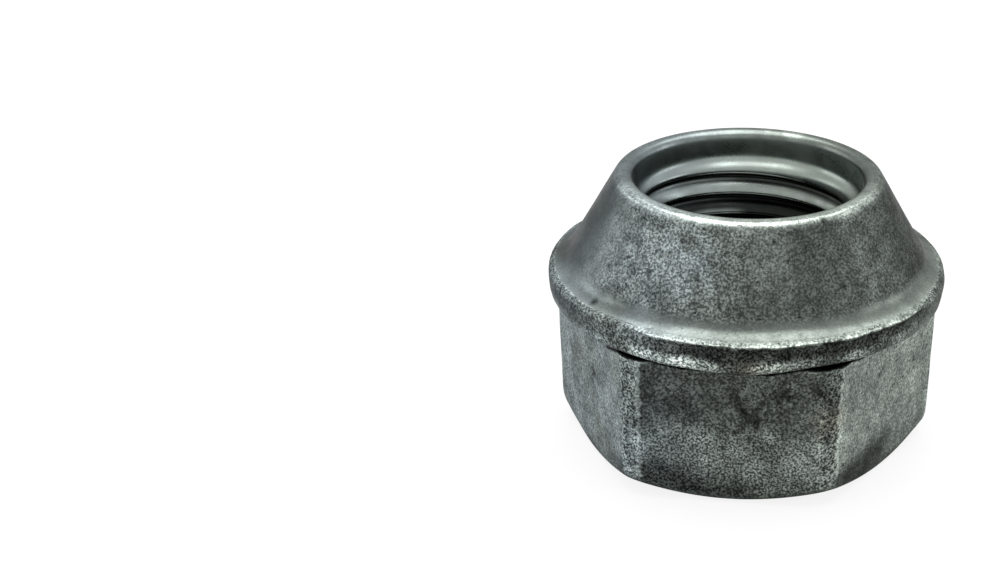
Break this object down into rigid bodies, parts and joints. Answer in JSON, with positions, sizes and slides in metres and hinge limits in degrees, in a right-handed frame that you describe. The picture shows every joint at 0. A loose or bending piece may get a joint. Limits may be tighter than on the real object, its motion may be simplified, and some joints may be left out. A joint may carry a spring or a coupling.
{
  "type": "lug nut",
  "caption": "Open-ended hexagon wheel nut with a forged collar and a tapered cone seat, threaded right through, that clamps a road wheel onto its stud.",
  "frame": {"origin": "centre of the bore in the hexagon end face, which the nut stands on", "axes": "+Z along the bore from the hexagon end to the seat cone, +Y square to two of the hexagon's flats, +X through two of its corners"},
  "size_m": [0.0223, 0.0224, 0.0156],
  "materials": {
    "zinc_steel": "dull zinc plating on cold-forged steel, mottled grey, rough on the forged collar and the hexagon corners"
  },
  "bodies": {
    "root": {"lug_nut": "zinc_steel"}
  },
  "joints": []
}
